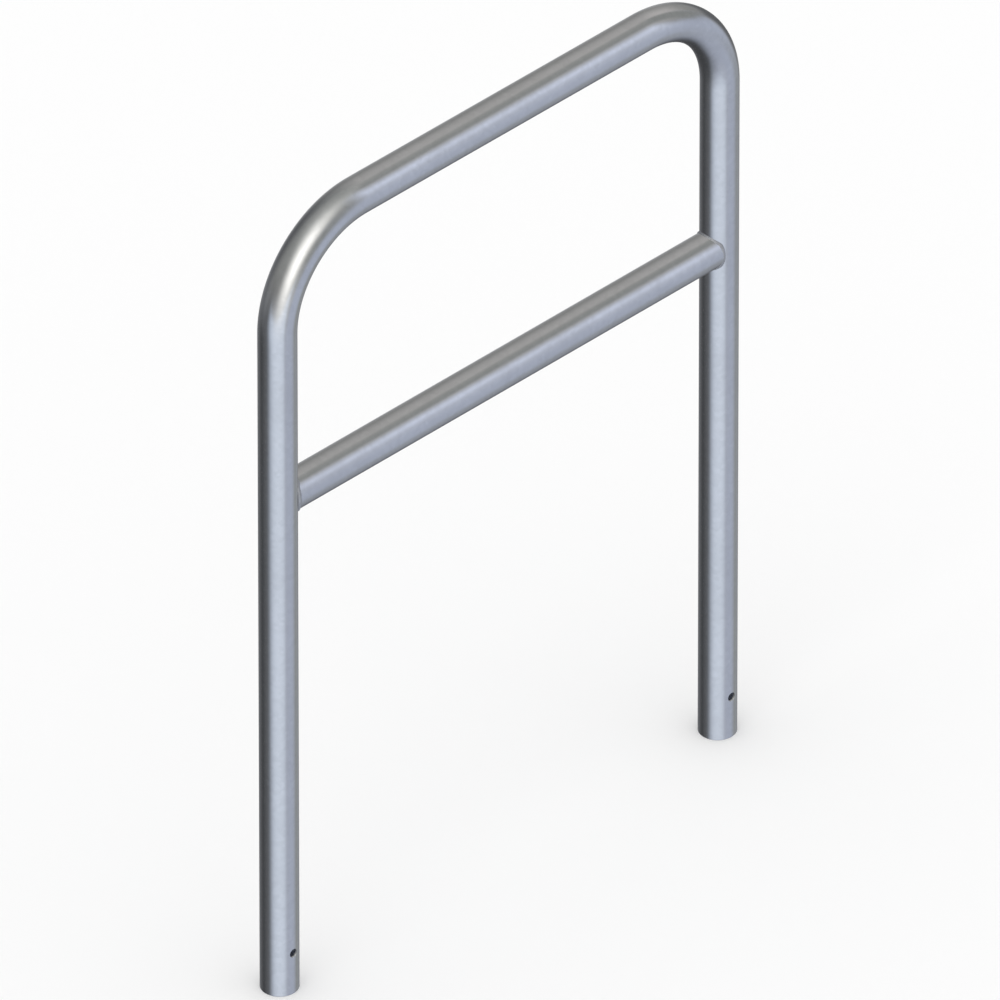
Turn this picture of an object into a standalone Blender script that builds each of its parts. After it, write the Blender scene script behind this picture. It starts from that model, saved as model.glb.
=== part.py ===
# Steel hoop barrier: one bent tube whose open legs are set in the ground, with a mid rail
# welded between them. Metres, +Z up. The hoop lies in the XZ plane with its middle on X = 0,
# and its two feet are cut square at Z = 0.

import math

import bmesh
import bpy

# Heights and width of the whole barrier
HEIGHT_ABOVE_GROUND = 1.000  # ground to the top of the top rail
SET_IN_DEPTH = 0.400  # length of each leg that goes into the ground
OVERALL_WIDTH = 1.000  # across the outsides of the two legs

# Hoop tube
HOOP_DIAMETER = 0.0603
HOOP_WALL = 0.0026
BEND_RADIUS = 0.168  # to the middle of the tube

# Mid rail
RAIL_DIAMETER = 0.0603
RAIL_WALL = 0.0026
RAIL_HEIGHT = 0.500  # middle of the rail above the ground
RAIL_NOTCH_DEPTH = 0.0095  # how far each end reaches past the near face of its leg

# Holes in the legs
ANCHOR_HOLE_DIAMETER = 0.014
ANCHOR_HOLE_HEIGHT = 0.075  # above the foot
VENT_HOLE_DIAMETER = 0.012  # into the rail's bore, for air and zinc

# Welds
WELD_RADIUS = 0.0040  # of the round bead laid into the corner of rail and leg
WELD_DRAWN_IN = 1 / 3  # of the open gap at the rail's sides, from the rail's end to the leg
FIT_GAP = 0.0003  # left between pieces that touch
CUT_OVERRUN = 0.010  # how far a cutter runs out past what it cuts

# Mesh counts, and what counts as one point or as a sharp edge
TUBE_SIDES = 48
BORE_SIDES = 32
BEND_STEPS = 20
HOLE_SIDES = 24
WELD_SIDES = 12
WELD_STEPS = 54
SAME_POINT = 1e-6
SHARP_ANGLE = math.radians(40)

# Worked out from the sizes above
HOOP_RADIUS = HOOP_DIAMETER / 2
RAIL_RADIUS = RAIL_DIAMETER / 2
LEG_X = OVERALL_WIDTH / 2 - HOOP_RADIUS
TOP_Z = SET_IN_DEPTH + HEIGHT_ABOVE_GROUND - HOOP_RADIUS
RAIL_Z = SET_IN_DEPTH + RAIL_HEIGHT
RAIL_END_TO_LEG = HOOP_RADIUS - RAIL_NOTCH_DEPTH  # from the leg's middle line

SIDES = {"left": -1, "right": 1}


def clear_scene():
    for obj in list(bpy.data.objects):
        bpy.data.objects.remove(obj, do_unlink=True)


def new_collection(name):
    collection = bpy.data.collections.new(name)
    bpy.context.scene.collection.children.link(collection)
    return collection


def make_material(name, color, roughness):
    material = bpy.data.materials.new(name)
    material.use_nodes = True
    shader = material.node_tree.nodes["Principled BSDF"]
    shader.inputs["Base Color"].default_value = (*color, 1)
    shader.inputs["Roughness"].default_value = roughness
    shader.inputs["Metallic"].default_value = 1
    material.diffuse_color = (*color, 1)
    return material


def sweep_tube(name, points, radius, sides, collection, closed=False, half_turned=False):
    """A round bar along the points, with flat ends, as a mesh object.

    half_turned turns its sides by half a side, so that they never line up with a crossing tube's.
    """
    curve = bpy.data.curves.new(name, "CURVE")
    curve.dimensions = "3D"
    curve.bevel_depth = radius
    curve.bevel_resolution = (sides - 4) // 2
    curve.use_fill_caps = True
    spline = curve.splines.new("POLY")
    spline.points.add(len(points) - 1)
    for point, place in zip(spline.points, points):
        point.co = (*place, 1)
        point.tilt = math.radians(180) / sides if half_turned else 0
    spline.use_cyclic_u = closed

    guide = bpy.data.objects.new(name + "_guide", curve)
    bpy.context.scene.collection.objects.link(guide)
    graph = bpy.context.evaluated_depsgraph_get()
    mesh = bpy.data.meshes.new_from_object(guide.evaluated_get(graph))
    mesh.name = name

    shape = bmesh.new()
    shape.from_mesh(mesh)
    bmesh.ops.remove_doubles(shape, verts=shape.verts, dist=SAME_POINT)
    bmesh.ops.recalc_face_normals(shape, faces=shape.faces)
    shape.to_mesh(mesh)
    shape.free()
    mesh.shade_smooth()
    mesh.set_sharp_from_angle(angle=SHARP_ANGLE)

    tube = bpy.data.objects.new(name, mesh)
    tube.matrix_world = guide.matrix_world
    bpy.data.objects.remove(guide)
    collection.objects.link(tube)
    return tube


def hide_cutter(cutter):
    cutter.hide_render = True
    cutter.display_type = "WIRE"
    return cutter


def drill(name, start, end, diameter, collection, sides=HOLE_SIDES, half_turned=False):
    """A straight round cutter from start to end."""
    cutter = sweep_tube(
        name, [start, end], diameter / 2, sides, collection, half_turned=half_turned
    )
    return hide_cutter(cutter)


def cut(piece, cutter):
    boolean = piece.modifiers.new(cutter.name, "BOOLEAN")
    boolean.operation = "DIFFERENCE"
    boolean.solver = "EXACT"
    boolean.object = cutter


def finish_piece(piece, material, parent):
    """Shading that holds up beside the cuts, the piece's own material and its parent."""
    normals = piece.modifiers.new("even_shading", "WEIGHTED_NORMAL")
    normals.keep_sharp = True
    piece.data.materials.clear()
    piece.data.materials.append(material)
    piece.parent = parent


def hoop_path(foot_z):
    """Up one leg, round both bends and down the other, with the open ends at foot_z."""
    bend_x = LEG_X - BEND_RADIUS
    bend_z = TOP_Z - BEND_RADIUS
    quarter = [math.radians(90) * step / BEND_STEPS for step in range(BEND_STEPS + 1)]
    left = [
        (-bend_x - BEND_RADIUS * math.cos(turn), 0, bend_z + BEND_RADIUS * math.sin(turn))
        for turn in quarter
    ]
    right = [(-x, y, z) for x, y, z in reversed(left)]
    return [(-LEG_X, 0, foot_z), *left, *right, (LEG_X, 0, foot_z)]


def build_hoop(parts, cutters):
    hoop = sweep_tube("hoop_tube", hoop_path(0), HOOP_RADIUS, TUBE_SIDES, parts)
    bore_radius = HOOP_RADIUS - HOOP_WALL
    bore = sweep_tube("hoop_bore", hoop_path(-CUT_OVERRUN), bore_radius, BORE_SIDES, cutters)
    cut(hoop, hide_cutter(bore))

    past_wall = HOOP_RADIUS + CUT_OVERRUN
    for side, sign in SIDES.items():
        anchor = drill(
            f"{side}_anchor_drill",
            (sign * LEG_X, -past_wall, ANCHOR_HOLE_HEIGHT),
            (sign * LEG_X, past_wall, ANCHOR_HOLE_HEIGHT),
            ANCHOR_HOLE_DIAMETER,
            cutters,
        )
        vent = drill(
            f"{side}_vent_drill",
            (sign * LEG_X, 0, RAIL_Z),
            (sign * (LEG_X - past_wall), 0, RAIL_Z),
            VENT_HOLE_DIAMETER,
            cutters,
        )
        cut(hoop, anchor)
        cut(hoop, vent)
    return hoop


def leg_clearances(cutters):
    """A stretch of each leg, larger by the fit gap, that notches the rail and the welds."""
    reach = RAIL_RADIUS + WELD_RADIUS + CUT_OVERRUN
    diameter = HOOP_DIAMETER + 2 * FIT_GAP
    return {
        side: drill(
            f"{side}_leg_clearance",
            (sign * LEG_X, 0, RAIL_Z - reach),
            (sign * LEG_X, 0, RAIL_Z + reach),
            diameter,
            cutters,
            TUBE_SIDES,
        )
        for side, sign in SIDES.items()
    }


def build_rail(parts, cutters, legs):
    half_length = LEG_X - RAIL_END_TO_LEG
    ends = [(-half_length, 0, 0), (half_length, 0, 0)]
    rail = sweep_tube("mid_rail", ends, RAIL_RADIUS, TUBE_SIDES, parts, half_turned=True)
    rail.location.z = RAIL_Z

    past_end = half_length + CUT_OVERRUN
    bore_diameter = RAIL_DIAMETER - 2 * RAIL_WALL
    bore = drill(
        "rail_bore",
        (-past_end, 0, RAIL_Z),
        (past_end, 0, RAIL_Z),
        bore_diameter,
        cutters,
        BORE_SIDES,
    )
    cut(rail, bore)
    for leg in legs.values():
        cut(rail, leg)
    return rail


def weld_path():
    """Round the corner of rail and leg, about the leg's middle line with the rail along +X.

    Where the rail's end stands off the leg's round side, the bead is drawn in towards the leg.
    """
    wall_radius = RAIL_RADIUS - RAIL_WALL / 2
    path = []
    for step in range(WELD_STEPS):
        turn = math.radians(360) * (step + 0.5) / WELD_STEPS
        y = wall_radius * math.sin(turn)
        z = wall_radius * math.cos(turn)
        on_leg = math.sqrt(max(HOOP_RADIUS**2 - y**2, 0))
        x = max(on_leg, RAIL_END_TO_LEG)
        from_axis = math.hypot(x, y)
        open_gap = from_axis - HOOP_RADIUS
        share = 1 - open_gap * WELD_DRAWN_IN / from_axis
        path.append((x * share, y * share, z))
    return path


def build_weld(side, parts, leg, rail_clearance):
    weld = sweep_tube(f"{side}_weld", weld_path(), WELD_RADIUS, WELD_SIDES, parts, closed=True)
    weld.location = (SIDES[side] * LEG_X, 0, RAIL_Z)
    weld.rotation_euler.z = math.radians(180) if side == "right" else 0
    cut(weld, leg)
    cut(weld, rail_clearance)
    return weld


def main():
    clear_scene()
    parts = new_collection("steel_hoop_barrier")
    cutters = new_collection("cutters")
    base = bpy.data.objects.new("barrier_base", None)
    parts.objects.link(base)

    tube_steel = make_material("galvanised_hoop", (0.60, 0.63, 0.68), 0.24)
    rail_steel = make_material("galvanised_rail", (0.58, 0.61, 0.66), 0.26)
    weld_steel = make_material("galvanised_weld", (0.52, 0.54, 0.58), 0.38)

    finish_piece(build_hoop(parts, cutters), tube_steel, base)

    legs = leg_clearances(cutters)
    finish_piece(build_rail(parts, cutters, legs), rail_steel, base)

    rail_reach = LEG_X - RAIL_END_TO_LEG + FIT_GAP
    rail_clearance = drill(
        "rail_clearance",
        (-rail_reach, 0, RAIL_Z),
        (rail_reach, 0, RAIL_Z),
        RAIL_DIAMETER + 2 * FIT_GAP,
        cutters,
        TUBE_SIDES,
        half_turned=True,
    )
    for side in SIDES:
        finish_piece(build_weld(side, parts, legs[side], rail_clearance), weld_steel, base)


main()
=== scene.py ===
import math

import bmesh
import bpy
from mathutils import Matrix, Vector


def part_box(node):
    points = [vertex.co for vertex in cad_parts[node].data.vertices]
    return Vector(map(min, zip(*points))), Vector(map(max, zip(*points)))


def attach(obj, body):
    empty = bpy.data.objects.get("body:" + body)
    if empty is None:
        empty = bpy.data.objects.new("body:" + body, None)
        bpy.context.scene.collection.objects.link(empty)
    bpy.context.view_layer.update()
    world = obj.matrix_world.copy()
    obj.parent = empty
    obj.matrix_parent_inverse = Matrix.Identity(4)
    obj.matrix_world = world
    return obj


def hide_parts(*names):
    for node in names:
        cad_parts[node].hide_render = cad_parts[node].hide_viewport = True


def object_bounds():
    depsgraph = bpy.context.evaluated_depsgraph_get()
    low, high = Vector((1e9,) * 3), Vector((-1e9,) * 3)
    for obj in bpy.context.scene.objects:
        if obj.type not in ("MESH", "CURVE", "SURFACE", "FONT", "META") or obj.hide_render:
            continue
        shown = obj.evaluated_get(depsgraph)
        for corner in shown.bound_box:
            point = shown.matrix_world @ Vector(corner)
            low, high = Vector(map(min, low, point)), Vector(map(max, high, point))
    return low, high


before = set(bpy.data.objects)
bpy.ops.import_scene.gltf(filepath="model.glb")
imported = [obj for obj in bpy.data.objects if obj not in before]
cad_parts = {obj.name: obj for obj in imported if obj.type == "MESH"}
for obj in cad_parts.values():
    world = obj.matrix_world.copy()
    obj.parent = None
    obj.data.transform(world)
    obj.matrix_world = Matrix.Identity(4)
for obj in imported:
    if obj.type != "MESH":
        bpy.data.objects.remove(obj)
cadLow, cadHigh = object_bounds()
scene = bpy.context.scene
sideSigns = {"left": -1, "right": 1}
print("frame loaded:", ", ".join(sorted(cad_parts)))


# Directions, in degrees: heading goes round the barrier from its front, height is above the horizon
def fromAngles(heading, height):
    heading, height = math.radians(heading), math.radians(height)
    return Vector((
        math.sin(heading) * math.cos(height),
        -math.cos(heading) * math.cos(height),
        math.sin(height),
    ))


def toTheRight(heading):
    heading = math.radians(heading)
    return Vector((math.cos(heading), math.sin(heading), 0))


# Camera: far off and on a very long lens, because the photograph shows no perspective
cameraSetup = {
    "heading": -45.1,  # degrees, to the left of the barrier's front
    "height": 35.23,
    "lens": 1600,
    "sensor": 36,
    "farClip": 3,  # times the camera's distance
    "viewWidth": 1.5066,  # metres across the picture, at the barrier
    "aimHeight": 0.6615,
    "aimAside": 0.0009,  # to the camera's right of the barrier's middle
}


def makeCamera(setup):
    back = fromAngles(setup["heading"], setup["height"])
    right = toTheRight(setup["heading"])
    aim = Vector((0, 0, setup["aimHeight"])) + right * setup["aimAside"]
    distance = setup["viewWidth"] * setup["lens"] / setup["sensor"]

    data = bpy.data.cameras.new("camera")
    data.sensor_width = setup["sensor"]
    data.lens = setup["lens"]
    data.clip_end = distance * setup["farClip"]
    camera = bpy.data.objects.new("camera", data)
    camera.location = aim + back * distance
    camera.rotation_mode = "QUATERNION"
    camera.rotation_quaternion = (-back).to_track_quat("-Z", "Y")
    scene.collection.objects.link(camera)
    scene.camera = camera


makeCamera(cameraSetup)
print("camera placed")


# Mesh tools
def ring(centre, outward, radius, sides):
    return [
        centre + outward * (radius * math.cos(turn)) + Vector((0, radius * math.sin(turn), 0))
        for turn in (2 * math.pi * side / sides for side in range(sides))
    ]


def joinRings(shape, rows):
    for row, nextRow in zip(rows, rows[1:]):
        for side in range(len(row)):
            after = (side + 1) % len(row)
            shape.faces.new((row[side], row[after], nextRow[after], nextRow[side]))


def newObject(name, shape):
    mesh = bpy.data.meshes.new(name)
    shape.to_mesh(mesh)
    shape.free()
    made = bpy.data.objects.new(name, mesh)
    scene.collection.objects.link(made)
    return made


def closedShell(name, rings):
    # The last ring joins the first, so that outside, ends and bore are one skin
    shell = bmesh.new()
    rows = [[shell.verts.new(point) for point in points] for points in rings]
    joinRings(shell, rows + rows[:1])
    bmesh.ops.recalc_face_normals(shell, faces=shell.faces)
    return newObject(name, shell)


def turnedPlug(name, profile, place, axis, sides):
    # A solid of revolution: profile holds (distance along the axis, radius)
    shape = bmesh.new()
    spin = Vector((0, 0, 1)).rotation_difference(axis).to_matrix()
    rows = []
    for along, radius in profile:
        row = []
        for side in range(sides):
            turn = 2 * math.pi * (side + 0.5) / sides
            point = Vector((radius * math.cos(turn), radius * math.sin(turn), along))
            row.append(shape.verts.new(place + spin @ point))
        rows.append(row)
    joinRings(shape, rows)
    shape.faces.new(reversed(rows[0]))
    shape.faces.new(rows[-1])
    bmesh.ops.recalc_face_normals(shape, faces=shape.faces)
    return newObject(name, shape)


def cutAway(piece, cutters):
    for cutter in cutters:
        cut = piece.modifiers.new(cutter.name, "BOOLEAN")
        cut.operation = "DIFFERENCE"
        cut.solver = "EXACT"
        cut.object = cutter
    graph = bpy.context.evaluated_depsgraph_get()
    mesh = bpy.data.meshes.new_from_object(piece.evaluated_get(graph))
    piece.modifiers.clear()
    old, piece.data = piece.data, mesh
    bpy.data.meshes.remove(old)
    for cutter in cutters:
        bpy.data.objects.remove(cutter)


def smoothSkin(piece, sharpAngle):
    piece.data.shade_smooth()
    piece.data.set_sharp_from_angle(angle=math.radians(sharpAngle))


def paintBore(piece, straighten, boreRadius, material, slack=0.0001):
    # Faces on the inside of the tube take a second material
    piece.data.materials.append(material)
    for face in piece.data.polygons:
        outward, aside, _ = straighten(face.center)
        if math.hypot(outward, aside) < boreRadius + slack:
            face.material_index = 1


def markRun(piece, straighten):
    # Where each point would be if the tube were straight: across, across and along, in metres
    run = piece.data.attributes.new("straightTube", "FLOAT_VECTOR", "POINT")
    flat = [value for vertex in piece.data.vertices for value in straighten(vertex.co)]
    run.data.foreach_set("vector", flat)


# Hoop: one bent tube, its two open feet on the floor
hoopSetup = {
    "diameter": 0.0603,
    "wall": 0.0026,
    "bendRadius": 0.168,  # to the middle of the tube
    "sides": 128,
    "bendSteps": 48,
    "footChamfer": 0.0006,
    "anchorHole": 0.014,
    "anchorHeight": 0.075,
    "countersink": 0.0007,
    "ventHole": 0.012,
    "holeSides": 64,
    "ringSpacing": 0.0015,  # near the holes, so that the tube stays true around them
    "ringMargin": 2,  # rings beyond each hole's rim
    "cutterReach": 0.01,  # of the holes' cutters beyond the tube
    "sharpAngle": 32,
}
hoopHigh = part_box("hoop_tube")[1]
railLow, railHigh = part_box("mid_rail")
hoopRadius = hoopSetup["diameter"] / 2
legX = hoopHigh.x - hoopRadius
topZ = hoopHigh.z - hoopRadius
bendX = legX - hoopSetup["bendRadius"]
bendZ = topZ - hoopSetup["bendRadius"]
railZ = (railLow.z + railHigh.z) / 2
quarterBend = hoopSetup["bendRadius"] * math.pi / 2
bendStep = quarterBend / hoopSetup["bendSteps"]
hoopLength = 2 * (bendZ + quarterBend + bendX)


def legHeights(setup):
    spacing = setup["ringSpacing"]
    holes = ((setup["anchorHeight"], setup["anchorHole"]), (railZ, setup["ventHole"]))
    heights = [setup["footChamfer"]]
    for middle, diameter in holes:
        reach = math.ceil((diameter / 2 + setup["countersink"]) / spacing) + setup["ringMargin"]
        heights += [middle + spacing * step for step in range(-reach, reach + 1)]
    return heights + [bendZ - bendStep]


def hoopStations(setup):
    left = [(Vector((-legX, 0, height)), Vector((-1, 0, 0))) for height in legHeights(setup)]
    for step in range(setup["bendSteps"] + 1):
        turn = math.pi / 2 * step / setup["bendSteps"]
        outward = Vector((-math.cos(turn), 0, math.sin(turn)))
        left.append((Vector((-bendX, 0, bendZ)) + outward * setup["bendRadius"], outward))
    left.append((Vector((bendStep - bendX, 0, topZ)), Vector((0, 0, 1))))
    right = [
        (Vector((-centre.x, 0, centre.z)), Vector((-outward.x, 0, outward.z)))
        for centre, outward in reversed(left)
    ]
    return left + right


def straightenHoop(point):
    side = -1 if point.x < 0 else 1
    across = abs(point.x)
    if point.z < bendZ:
        outward, along = across - legX, point.z
    elif across > bendX:
        fromCentre = Vector((across - bendX, point.z - bendZ))
        outward = fromCentre.length - hoopSetup["bendRadius"]
        along = bendZ + hoopSetup["bendRadius"] * math.atan2(fromCentre.y, fromCentre.x)
    else:
        outward, along = point.z - topZ, bendZ + quarterBend + bendX - across
    return outward, point.y, along if side < 0 else hoopLength - along


def buildHoop(setup):
    sides, chamfer = setup["sides"], setup["footChamfer"]
    boreRadius = hoopRadius - setup["wall"]
    stations = hoopStations(setup)
    leftFoot = (Vector((-legX, 0, 0)), Vector((-1, 0, 0)))
    rightFoot = (Vector((legX, 0, 0)), Vector((1, 0, 0)))
    outside = [ring(centre, outward, hoopRadius, sides) for centre, outward in stations]
    inside = [ring(centre, outward, boreRadius, sides) for centre, outward in reversed(stations)]
    rims = [
        [ring(*foot, hoopRadius - chamfer, sides), ring(*foot, boreRadius + chamfer, sides)]
        for foot in (rightFoot, leftFoot)
    ]
    piece = closedShell("hoop_tube_skin", outside + rims[0] + inside + rims[1][::-1])

    reach = hoopRadius + setup["cutterReach"]
    flare = setup["countersink"]
    holeRadius = setup["anchorHole"] / 2
    cutters = []
    for side, sign in sideSigns.items():
        profile = [
            (-reach, holeRadius + flare + reach - hoopRadius),
            (flare - hoopRadius, holeRadius),
            (hoopRadius - flare, holeRadius),
            (reach, holeRadius + flare + reach - hoopRadius),
        ]
        place = Vector((sign * legX, 0, setup["anchorHeight"]))
        cutters.append(turnedPlug(
            f"{side}_anchor_cutter", profile, place, Vector((0, 1, 0)), setup["holeSides"]
        ))
        vent = [(0, setup["ventHole"] / 2), (reach, setup["ventHole"] / 2)]
        place = Vector((sign * legX, 0, railZ))
        inward = Vector((-sign, 0, 0))
        cutters.append(turnedPlug(
            f"{side}_vent_cutter", vent, place, inward, setup["holeSides"]
        ))
    cutAway(piece, cutters)
    smoothSkin(piece, setup["sharpAngle"])
    markRun(piece, straightenHoop)
    return piece


hoop = buildHoop(hoopSetup)
print("hoop built:", len(hoop.data.polygons), "faces")


# Mid rail: a straight tube, notched round each leg and square at its flanks
railSetup = {
    "diameter": 0.0603,
    "wall": 0.0026,
    "endToLeg": 0.02065,  # from the leg's middle line to the rail's square end
    "notchGap": 0.0003,
    "sides": 160,
    "ringSpacing": 0.004,  # from the leg's skin to the first whole ring
    "sharpAngle": 32,
}
railRadius = railSetup["diameter"] / 2
railMiddle = Vector((0, 0, railZ))


def railEnd(setup, radius):
    # Follows the leg where that is nearer the rail's middle than the square end
    legSurface = hoopRadius + setup["notchGap"]
    points = []
    for point in ring(railMiddle, Vector((0, 0, 1)), radius, setup["sides"]):
        toLeg = math.sqrt(max(legSurface**2 - point.y**2, 0))
        points.append(Vector((legX - max(toLeg, setup["endToLeg"]), point.y, point.z)))
    return points


def mirrored(points):
    return [Vector((-point.x, point.y, point.z)) for point in points]


def buildRail(setup):
    boreRadius = railRadius - setup["wall"]
    plainX = legX - hoopRadius - setup["ringSpacing"]
    plain = [Vector((plainX, 0, railZ)), Vector((-plainX, 0, railZ))]
    up = Vector((0, 0, 1))
    outside = [ring(centre, up, railRadius, setup["sides"]) for centre in plain]
    inside = [ring(centre, up, boreRadius, setup["sides"]) for centre in reversed(plain)]
    outerEnd, innerEnd = railEnd(setup, railRadius), railEnd(setup, boreRadius)
    piece = closedShell(
        "mid_rail_skin",
        [outerEnd, *outside, mirrored(outerEnd), mirrored(innerEnd), *inside, innerEnd],
    )
    smoothSkin(piece, setup["sharpAngle"])
    markRun(piece, lambda point: (point.z - railZ, point.y, point.x + hoopLength))
    return piece


rail = buildRail(railSetup)
print("mid rail built:", len(rail.data.polygons), "faces")


# Welds: a rippled bead laid round each end of the rail
weldSetup = {
    "radius": 0.0037,
    "flattened": 0.26,  # how much lower the bead's face is than a round one, as a share
    "drawnIn": 0.42,  # towards the leg, as a share of the open gap at the rail's flanks
    "swollen": 0.0007,  # extra radius where that gap is widest
    "steps": 360,
    "evenedOver": 9,  # steps on each side that even out its direction, and half of them its path
    "sides": 28,
    "ripples": 50,
    "rippleDepth": 0.00020,
    "rippleSunk": 0.7,  # share of a ripple's depth that lies under the bead's own radius
    "rippleLag": 0.9,  # radians by which a ripple's crown trails its edges
    "paceWaves": [(0.035, 7, 1.2), (0.02, 13, 0.4)],  # size, waves round the bead and start
    "wander": 0.00020,  # how far the bead grows thicker and thinner on its way round
    "wanderWaves": [(1.0, 5, 0.6), (0.6, 11, 2.1)],
    "sunkIn": 0.0002,  # how far the bead's edges lie under the tubes' skins
    "cutterReach": 0.02,  # of the tubes' cores beyond the rail
    "sharpAngle": 50,
}


def evened(loop, reach):
    # Each vector of a closed loop becomes the mean of its neighbours
    near = range(-reach, reach + 1)
    return [
        sum((loop[(step + shift) % len(loop)] for shift in near), Vector()) / len(near)
        for step in range(len(loop))
    ]


def waves(turn, terms, level=0.0):
    for size, count, start in terms:
        level += size * math.sin(turn * count + start)
    return level


def beadPath(setup):
    wallRadius = railRadius - railSetup["wall"] / 2
    path = []
    for step in range(setup["steps"]):
        turn = 2 * math.pi * (step + 0.5) / setup["steps"]
        y, z = wallRadius * math.sin(turn), wallRadius * math.cos(turn)
        x = max(math.sqrt(max(hoopRadius**2 - y**2, 0)), railSetup["endToLeg"])
        openGap = math.hypot(x, y) - hoopRadius
        share = 1 - openGap * setup["drawnIn"] / math.hypot(x, y)
        path.append(Vector((x * share, y * share, z)))
    return evened(path, setup["evenedOver"] // 2)


def beadRings(setup):
    path = beadPath(setup)
    directions = [
        (path[(step + 1) % len(path)] - path[step - 1]).normalized()
        for step in range(len(path))
    ]
    directions = evened(directions, setup["evenedOver"])
    rings = []
    for step, (centre, direction) in enumerate(zip(path, directions)):
        along = direction.normalized()
        outward = centre.normalized()
        outward = (outward - along * outward.dot(along)).normalized()
        across = along.cross(outward)
        turn = 2 * math.pi * step / len(path)
        wander = waves(turn, setup["wanderWaves"])
        pace = waves(turn, setup["paceWaves"], turn)
        swell = setup["swollen"] * math.sin(turn) ** 4
        points = []
        for side in range(setup["sides"]):
            angle = 2 * math.pi * side / setup["sides"]
            wave = setup["ripples"] * pace - setup["rippleLag"] * math.cos(angle)
            face = max(math.cos(angle), 0) ** 2
            radius = (
                (setup["radius"] + swell) * (1 - setup["flattened"] * face)
                + setup["rippleDepth"] * (abs(math.sin(wave / 2)) - setup["rippleSunk"])
                + setup["wander"] * wander / 2
            )
            points.append(centre + (outward * math.cos(angle) + across * math.sin(angle)) * radius)
        rings.append(points)
    return rings


def placeOnLeg(points, sign):
    # The bead is worked out about the leg's middle line, with the rail along +X
    return [Vector((sign * (legX - point.x), point.y, railZ + point.z)) for point in points]


def buildWeld(side, setup):
    sign = sideSigns[side]
    rings = [placeOnLeg(points, sign) for points in beadRings(setup)]
    piece = closedShell(f"{side}_weld_bead", rings)
    legCore, railCore = hoopRadius - setup["sunkIn"], railRadius - setup["sunkIn"]
    reach = railRadius + setup["cutterReach"]
    up, inward = Vector((0, 0, 1)), Vector((-sign, 0, 0))
    place = Vector((sign * legX, 0, railZ))
    legCutter = turnedPlug(
        f"{side}_leg_core", [(-reach, legCore), (reach, legCore)],
        place, up, hoopSetup["sides"],
    )
    railCutter = turnedPlug(
        f"{side}_rail_core", [(railSetup["endToLeg"], railCore), (reach, railCore)],
        place, inward, railSetup["sides"],
    )
    cutAway(piece, [legCutter, railCutter])
    smoothSkin(piece, setup["sharpAngle"])
    return piece


welds = {side: buildWeld(side, weldSetup) for side in sideSigns}
for side, weld in welds.items():
    print(side, "weld built:", len(weld.data.polygons), "faces")


# Node tools
class NodeBench:
    # Adds nodes to a tree and joins them, so that each effect below reads as a short list
    def __init__(self, tree):
        self.tree = tree

    def add(self, kind, inputs=(), **settings):
        node = self.tree.nodes.new(kind)
        for key, value in settings.items():
            setattr(node, key, value)
        for key, value in dict(inputs).items():
            if isinstance(value, bpy.types.NodeSocket):
                self.tree.links.new(value, node.inputs[key])
            else:
                node.inputs[key].default_value = value
        return node

    def math(self, operation, first, second=0.0, third=0.0):
        node = self.add("ShaderNodeMath", {0: first, 1: second, 2: third}, operation=operation)
        return node.outputs[0]

    def vector(self, operation, first, second=(0, 0, 0)):
        node = self.add("ShaderNodeVectorMath", {0: first, 1: second}, operation=operation)
        return node.outputs["Vector"]

    def dot(self, first, second):
        node = self.add("ShaderNodeVectorMath", {0: first, 1: second}, operation="DOT_PRODUCT")
        return node.outputs["Value"]

    def remap(self, value, low, high, newLow, newHigh, smooth=False):
        node = self.add(
            "ShaderNodeMapRange",
            {
                "Value": value, "From Min": low, "From Max": high,
                "To Min": newLow, "To Max": newHigh,
            },
            interpolation_type="SMOOTHSTEP" if smooth else "LINEAR",
        )
        return node.outputs["Result"]

    def blend(self, factor, first, second):
        node = self.add("ShaderNodeMix", data_type="RGBA")
        for key, value in ((0, factor), (6, first), (7, second)):
            if isinstance(value, bpy.types.NodeSocket):
                self.tree.links.new(value, node.inputs[key])
            else:
                node.inputs[key].default_value = value
        return node.outputs[2]


def newGroup(name, inputs, outputs):
    tree = bpy.data.node_groups.new(name, "ShaderNodeTree")
    for socketName, kind, value in inputs:
        socket = tree.interface.new_socket(name=socketName, in_out="INPUT", socket_type=kind)
        if value is not None:
            socket.default_value = value
    for socketName, kind in outputs:
        tree.interface.new_socket(name=socketName, in_out="OUTPUT", socket_type=kind)
    bench = NodeBench(tree)
    return tree, bench, bench.add("NodeGroupInput").outputs, bench.add("NodeGroupOutput").inputs


def useGroup(bench, tree, inputs):
    node = bench.tree.nodes.new("ShaderNodeGroup")
    node.node_tree = tree
    for key, value in inputs.items():
        if isinstance(value, bpy.types.NodeSocket):
            bench.tree.links.new(value, node.inputs[key])
        else:
            node.inputs[key].default_value = value
    return node.outputs


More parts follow.
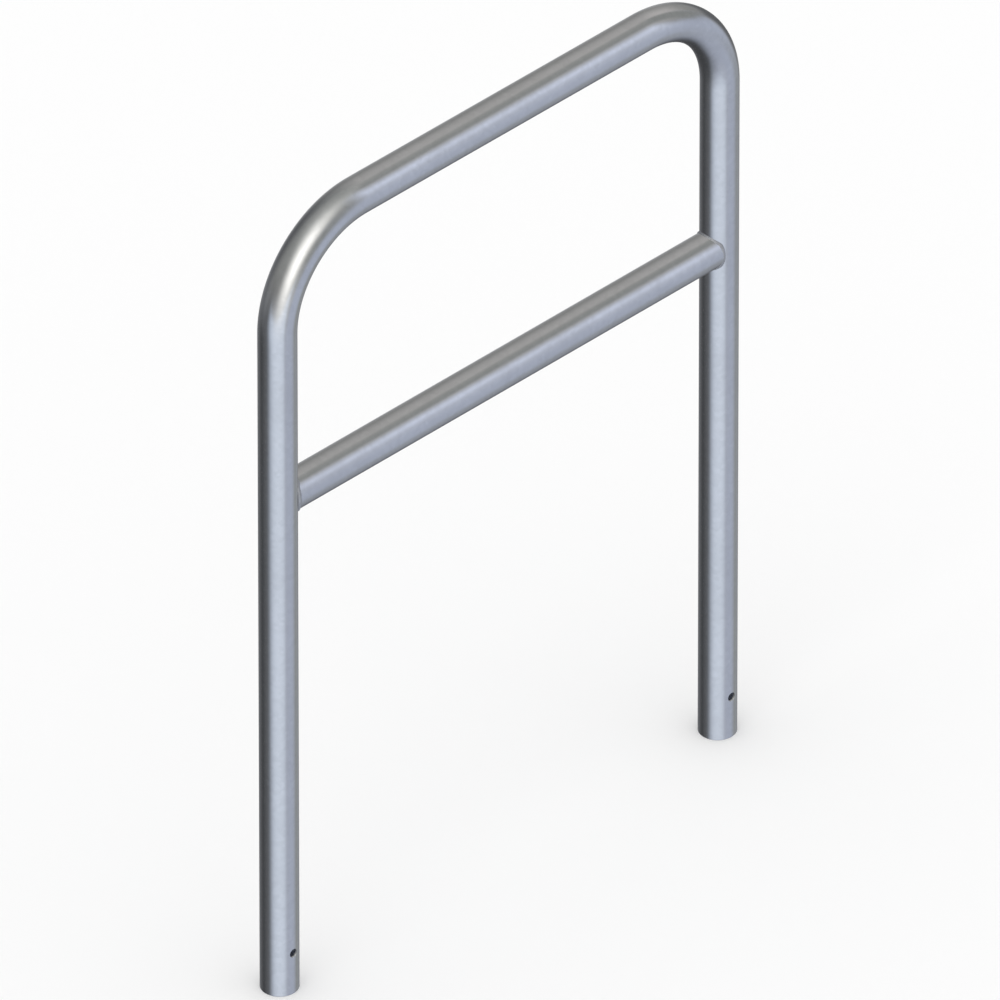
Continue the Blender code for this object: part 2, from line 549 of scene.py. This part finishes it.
# Zinc spangle: faint crystal flakes, each a little lighter, darker or duller than the next
def zincSpangleGroup():
    tree, bench, given, result = newGroup(
        "zincSpangle",
        [
            ("Vector", "NodeSocketVector", None),
            ("Flake Size", "NodeSocketFloat", 0.011),
            ("Spread", "NodeSocketFloat", 0.04),
            ("Waviness", "NodeSocketFloat", 0.45),  # of the flakes' borders, as a share of a flake
            ("Edge Width", "NodeSocketFloat", 0.12),
        ],
        [("Tone", "NodeSocketFloat"), ("Dullness", "NodeSocketFloat"), ("Edge", "NodeSocketFloat")],
    )
    perMetre = bench.math("DIVIDE", 1.0, given["Flake Size"])
    bent = bench.add(
        "ShaderNodeTexNoise", {"Vector": given["Vector"], "Scale": perMetre, "Detail": 2.0}
    )
    offset = bench.vector("SUBTRACT", bent.outputs["Color"], (0.5, 0.5, 0.5))
    sway = bench.math("MULTIPLY", given["Flake Size"], given["Waviness"])
    scaled = bench.add("ShaderNodeVectorMath", {0: offset, "Scale": sway}, operation="SCALE")
    place = bench.vector("ADD", given["Vector"], scaled.outputs["Vector"])
    flakes = bench.add("ShaderNodeTexVoronoi", {"Vector": place, "Scale": perMetre})
    borders = bench.add(
        "ShaderNodeTexVoronoi", {"Vector": place, "Scale": perMetre}, feature="DISTANCE_TO_EDGE"
    )
    parts = bench.add("ShaderNodeSeparateColor", {"Color": flakes.outputs["Color"]})
    lowest = bench.math("SUBTRACT", 1.0, given["Spread"])
    highest = bench.math("ADD", 1.0, given["Spread"])
    tone = bench.add(
        "ShaderNodeMapRange", {"Value": parts.outputs[0], "To Min": lowest, "To Max": highest}
    )
    bench.tree.links.new(tone.outputs["Result"], result["Tone"])
    bench.tree.links.new(parts.outputs[1], result["Dullness"])
    edge = bench.remap(
        borders.outputs["Distance"], 0.0, given["Edge Width"], 0.0, 1.0, smooth=True
    )
    bench.tree.links.new(edge, result["Edge"])
    return tree


# Drawn lines: the fine marks that the tube mill leaves along a tube
def drawnLinesGroup():
    tree, bench, given, result = newGroup(
        "drawnLines",
        [
            ("Vector", "NodeSocketVector", None),
            ("Line Width", "NodeSocketFloat", 0.0012),
            ("Line Length", "NodeSocketFloat", 0.25),
        ],
        [("Height", "NodeSocketFloat")],
    )
    across = bench.math("DIVIDE", 1.0, given["Line Width"])
    along = bench.math("DIVIDE", 1.0, given["Line Length"])
    scale = bench.add("ShaderNodeCombineXYZ", {"X": across, "Y": across, "Z": along})
    place = bench.vector("MULTIPLY", given["Vector"], scale.outputs["Vector"])
    lines = bench.add(
        "ShaderNodeTexNoise", {"Vector": place, "Scale": 1.0, "Detail": 3.0, "Roughness": 0.6}
    )
    bench.tree.links.new(lines.outputs["Fac"], result["Height"])
    return tree


# Dull patches: broad clouds where the zinc has gone a little flat
def dullPatchesGroup():
    tree, bench, given, result = newGroup(
        "dullPatches",
        [
            ("Vector", "NodeSocketVector", None),
            ("Patch Size", "NodeSocketFloat", 0.09),
            ("Bright Below", "NodeSocketFloat", 0.38),
            ("Dull Above", "NodeSocketFloat", 0.66),
        ],
        [("Mask", "NodeSocketFloat")],
    )
    perMetre = bench.math("DIVIDE", 1.0, given["Patch Size"])
    clouds = bench.add("ShaderNodeTexNoise", {
        "Vector": given["Vector"], "Scale": perMetre, "Detail": 4.0, "Roughness": 0.55,
    })
    mask = bench.remap(
        clouds.outputs["Fac"], given["Bright Below"], given["Dull Above"], 0.0, 1.0, smooth=True
    )
    bench.tree.links.new(mask, result["Mask"])
    return tree


zincSpangle = zincSpangleGroup()
drawnLines = drawnLinesGroup()
dullPatches = dullPatchesGroup()

# alongTube: the pattern follows the tube as if it were straight, and otherwise the piece itself
zincLooks = {
    "hoopSteel": {
        "alongTube": True,
        "color": (0.605, 0.63, 0.68), "metallic": 1.0, "roughness": 0.17,
        "flakeSize": 0.008, "flakeSpread": 0.025, "flakeRoughness": 0.03,
        "patchSize": 0.09, "patchTone": 0.97, "patchRoughness": 0.03,
        "lineWidth": 0.0012, "lineLength": 0.25, "lineHeight": 0.000010,
        "grainSize": 0.0009, "grainHeight": 0.000008,
    },
    "railSteel": {
        "alongTube": True,
        "color": (0.595, 0.62, 0.67), "metallic": 1.0, "roughness": 0.175,
        "flakeSize": 0.0075, "flakeSpread": 0.025, "flakeRoughness": 0.03,
        "patchSize": 0.08, "patchTone": 0.97, "patchRoughness": 0.03,
        "lineWidth": 0.0012, "lineLength": 0.20, "lineHeight": 0.000010,
        "grainSize": 0.0009, "grainHeight": 0.000008,
    },
    "weldMetal": {
        "alongTube": False,
        "color": (0.41, 0.43, 0.48), "metallic": 0.8, "roughness": 0.56,
        "flakeSize": 0.004, "flakeSpread": 0.05, "flakeRoughness": 0.04,
        "patchSize": 0.015, "patchTone": 0.90, "patchRoughness": 0.08,
        "lineWidth": 0.0008, "lineLength": 0.0008, "lineHeight": 0.00002,
        "grainSize": 0.0006, "grainHeight": 0.00002,
    },
    "boreSteel": {  # inside the hoop: the steel's tone made bluer, matt and not metallic
        "alongTube": True,
        "color": (0.60, 0.65, 0.76), "metallic": 0.0, "roughness": 0.75,
        "flakeSize": 0.006, "flakeSpread": 0.10, "flakeRoughness": 0.05,
        "patchSize": 0.03, "patchTone": 0.75, "patchRoughness": 0.10,
        "lineWidth": 0.0020, "lineLength": 0.15, "lineHeight": 0.00004,
        "grainSize": 0.0012, "grainHeight": 0.00004,
    },
}


def zincMaterial(name, look):
    material = bpy.data.materials.new(name)
    material.use_nodes = True
    bench = NodeBench(material.node_tree)
    shader = material.node_tree.nodes["Principled BSDF"]
    shader.inputs["Metallic"].default_value = look["metallic"]

    if look["alongTube"]:
        place = bench.add("ShaderNodeAttribute", attribute_name="straightTube").outputs["Vector"]
    else:
        place = bench.add("ShaderNodeTexCoord").outputs["Object"]
    spangle = useGroup(bench, zincSpangle, {
        "Vector": place, "Flake Size": look["flakeSize"], "Spread": look["flakeSpread"],
    })
    lines = useGroup(bench, drawnLines, {
        "Vector": place, "Line Width": look["lineWidth"], "Line Length": look["lineLength"],
    })
    patches = useGroup(bench, dullPatches, {"Vector": place, "Patch Size": look["patchSize"]})

    patchTone = bench.remap(patches["Mask"], 0.0, 1.0, 1.0, look["patchTone"])
    tone = bench.math("MULTIPLY", spangle["Tone"], patchTone)
    color = bench.add(
        "ShaderNodeVectorMath", {0: look["color"], "Scale": tone}, operation="SCALE"
    ).outputs["Vector"]
    material.node_tree.links.new(color, shader.inputs["Base Color"])

    roughness = bench.math(
        "MULTIPLY_ADD", spangle["Dullness"], look["flakeRoughness"], look["roughness"]
    )
    roughness = bench.math("MULTIPLY_ADD", patches["Mask"], look["patchRoughness"], roughness)
    material.node_tree.links.new(roughness, shader.inputs["Roughness"])

    grain = bench.add("ShaderNodeTexNoise", {
        "Vector": place, "Scale": 1 / look["grainSize"], "Detail": 2.0,
    }).outputs["Fac"]
    height = bench.math("MULTIPLY", grain, look["grainHeight"])
    height = bench.math("MULTIPLY_ADD", lines["Height"], look["lineHeight"], height)
    height = bench.math("MULTIPLY_ADD", spangle["Edge"], look["grainHeight"] / 2, height)
    bump = bench.add("ShaderNodeBump", {"Height": height, "Strength": 1.0, "Distance": 1.0})
    material.node_tree.links.new(bump.outputs["Normal"], shader.inputs["Normal"])
    return material


materials = {name: zincMaterial(name, look) for name, look in zincLooks.items()}
print("materials made:", ", ".join(materials))


def dress(piece, material, node):
    piece.data.materials.clear()
    piece.data.materials.append(material)
    piece.visible_glossy = False  # each tube mirrors the tent alone, as in the photograph
    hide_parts(node)
    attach(piece, "root")


dress(hoop, materials["hoopSteel"], "hoop_tube")
paintBore(hoop, straightenHoop, hoopRadius - hoopSetup["wall"], materials["boreSteel"])
dress(rail, materials["railSteel"], "mid_rail")
for side, weld in welds.items():
    dress(weld, materials["weldMetal"], f"{side}_weld")
print("pieces ride on the frame")


# Floor: plain and pale, and far larger than any view of the barrier
floorSetup = {"size": 600, "cells": 4, "color": (0.95, 0.95, 0.95), "roughness": 0.9}


def makeFloor(setup):
    shape = bmesh.new()
    cells = setup["cells"]
    bmesh.ops.create_grid(shape, x_segments=cells, y_segments=cells, size=setup["size"] / 2)
    floor = newObject("floor", shape)
    material = bpy.data.materials.new("paleFloor")
    material.use_nodes = True
    shader = material.node_tree.nodes["Principled BSDF"]
    shader.inputs["Base Color"].default_value = (*setup["color"], 1)
    shader.inputs["Roughness"].default_value = setup["roughness"]
    shader.inputs["Specular IOR Level"].default_value = 0.0
    floor.data.materials.append(material)
    floor.visible_glossy = False  # the light tent below it is what the steel mirrors


makeFloor(floorSetup)


# World and key lamp: plain white light all round and a soft shadow
worldSetup = {"color": (1, 1, 1, 1), "strength": 1.0}
keySetup = {"heading": -75, "height": 62, "distance": 5, "strength": 0.16, "softness": 28}


def makeWorld(setup):
    world = bpy.data.worlds.new("studio")
    world.use_nodes = True
    background = world.node_tree.nodes["Background"]
    background.inputs["Color"].default_value = setup["color"]
    background.inputs["Strength"].default_value = setup["strength"]
    scene.world = world


def makeKey(setup):
    data = bpy.data.lights.new("key", "SUN")
    data.energy = setup["strength"]
    data.angle = math.radians(setup["softness"])
    key = bpy.data.objects.new("key", data)
    toLamp = fromAngles(setup["heading"], setup["height"])
    key.location = toLamp * setup["distance"]
    key.rotation_mode = "QUATERNION"
    key.rotation_quaternion = toLamp.to_track_quat("Z", "Y")
    key.visible_glossy = False  # the tent's softbox is its reflection
    scene.collection.objects.link(key)


makeWorld(worldSetup)
makeKey(keySetup)


# Light tent: what the steel mirrors, a soft grey dome with lit panels and dark flags
tentSetup = {
    "radius": 40,
    "segments": 64,
    "dome": [  # from straight down (-1) to straight up (1), and the dome's tone there
        (-1.0, (0.2, 0.2, 0.2)),
        (-0.3, (0.55, 0.55, 0.55)),
        (0.15, (0.36, 0.35, 0.32)),
        (1.0, (0.42, 0.42, 0.38)),
    ],
    "tones": {
        "black": (0.07, 0.07, 0.07),
        "dark": (0.15, 0.15, 0.15),
        "grey": (0.35, 0.35, 0.32),
        "warm": (0.7, 0.65, 0.6),
        "blue": (0.57, 0.6, 0.68),
        "pale": (0.82, 0.88, 0.97),
        "strip": (1.0, 1.05, 1.2),
        "lamp": (2.1, 2.0, 1.8),
    },
    # A panel lies at a heading and height, and has half a width and half a height, in degrees.
    # Its edges fade over the share soft of those, and a later panel lies over an earlier one.
    "panels": [
        # Floor to the left and right of the camera: the legs' pale fronts, the rails' undersides
        {"at": (-60, -45), "half": (45, 30), "soft": 0.1, "tone": "pale"},
        {"at": (45, -45), "half": (40, 50), "soft": 0.2, "tone": "blue"},
        # Flags behind and at the left: the tubes' dark edges
        {"at": (180, 10), "half": (25, 40), "soft": 1.0, "tone": "dark"},
        {"at": (-135, -50), "half": (30, 40), "soft": 0.7, "tone": "black"},
        {"at": (150, -65), "half": (30, 25), "soft": 0.7, "tone": "black"},
        {"at": (-115, -25), "half": (15, 25), "soft": 1.0, "tone": "dark"},
        # Softbox above the camera: the highlight on the left bend
        {"at": (-40, 30), "half": (22, 33), "soft": 1.0, "tone": "lamp"},
        # Front right: a shade, and the strip that lights the rails' middles
        {"at": (5, 10), "half": (20, 15), "soft": 1.0, "tone": "grey"},
        {"at": (40, 25), "half": (7, 22), "soft": 1.0, "tone": "strip"},
        # Right: the rails' warm tops and the right bend, down to the legs' right edges
        {"at": (95, 40), "half": (27, 15), "soft": 1.0, "tone": "warm"},
        {"at": (75, 30), "half": (13, 27), "soft": 0.2, "tone": "grey"},
        {"at": (110, -15), "half": (20, 15), "soft": 0.4, "tone": "dark"},
        {"at": (75, -40), "half": (15, 12), "soft": 1.0, "tone": "grey"},
    ],
}


def softPanelGroup():
    tree, bench, given, result = newGroup(
        "softPanel",
        [
            ("Direction", "NodeSocketVector", None),
            ("Right", "NodeSocketVector", None),
            ("Up", "NodeSocketVector", None),
            ("Ahead", "NodeSocketVector", None),
            ("Half Width", "NodeSocketFloat", 0.3),
            ("Half Height", "NodeSocketFloat", 0.3),
            ("Softness", "NodeSocketFloat", 0.5),
        ],
        [("Mask", "NodeSocketFloat")],
    )
    inner = bench.math("SUBTRACT", 1.0, given["Softness"])
    outer = bench.math("ADD", 1.0, given["Softness"])
    masks = []
    for axis, half in (("Right", "Half Width"), ("Up", "Half Height")):
        offset = bench.math("ABSOLUTE", bench.dot(given["Direction"], given[axis]))
        share = bench.math("DIVIDE", offset, given[half])
        masks.append(bench.remap(share, inner, outer, 1.0, 0.0, smooth=True))
    ahead = bench.math("GREATER_THAN", bench.dot(given["Direction"], given["Ahead"]), 0.0)
    mask = bench.math("MULTIPLY", bench.math("MULTIPLY", *masks), ahead)
    bench.tree.links.new(mask, result["Mask"])
    return tree


def makeTent(setup):
    shape = bmesh.new()
    bmesh.ops.create_uvsphere(
        shape, u_segments=setup["segments"], v_segments=setup["segments"] // 2,
        radius=setup["radius"],
    )
    tent = newObject("light_tent", shape)
    tent.data.shade_smooth()
    tent.location = (cadLow + cadHigh) / 2

    material = bpy.data.materials.new("lightTent")
    material.use_nodes = True
    material.node_tree.nodes.clear()
    bench = NodeBench(material.node_tree)
    place = bench.add("ShaderNodeTexCoord").outputs["Object"]
    direction = bench.vector("NORMALIZE", place)
    height = bench.add("ShaderNodeSeparateXYZ", {"Vector": direction}).outputs["Z"]
    lowest, tone = setup["dome"][0]
    color = (*tone, 1)
    for level, tone in setup["dome"][1:]:
        share = bench.remap(height, lowest, level, 0.0, 1.0)
        color = bench.blend(share, color, (*tone, 1))
        lowest = level
    softPanel = softPanelGroup()
    for panel in setup["panels"]:
        ahead = fromAngles(*panel["at"])
        right = toTheRight(panel["at"][0])
        halfWidth, halfHeight = (math.sin(math.radians(half)) for half in panel["half"])
        mask = useGroup(bench, softPanel, {
            "Direction": direction,
            "Right": right,
            "Up": right.cross(ahead),
            "Ahead": ahead,
            "Half Width": halfWidth,
            "Half Height": halfHeight,
            "Softness": panel["soft"],
        })["Mask"]
        color = bench.blend(mask, color, (*setup["tones"][panel["tone"]], 1))
    glow = bench.add("ShaderNodeEmission", {"Color": color, "Strength": 1.0})
    bench.add("ShaderNodeOutputMaterial", {"Surface": glow.outputs["Emission"]})
    material.cycles.emission_sampling = "NONE"
    tent.data.materials.append(material)
    for ray in ("camera", "diffuse", "transmission", "volume_scatter", "shadow"):
        setattr(tent, f"visible_{ray}", False)


makeTent(tentSetup)
print("floor, world, key lamp and light tent set")


# Colours as written
scene.view_settings.view_transform = "Standard"
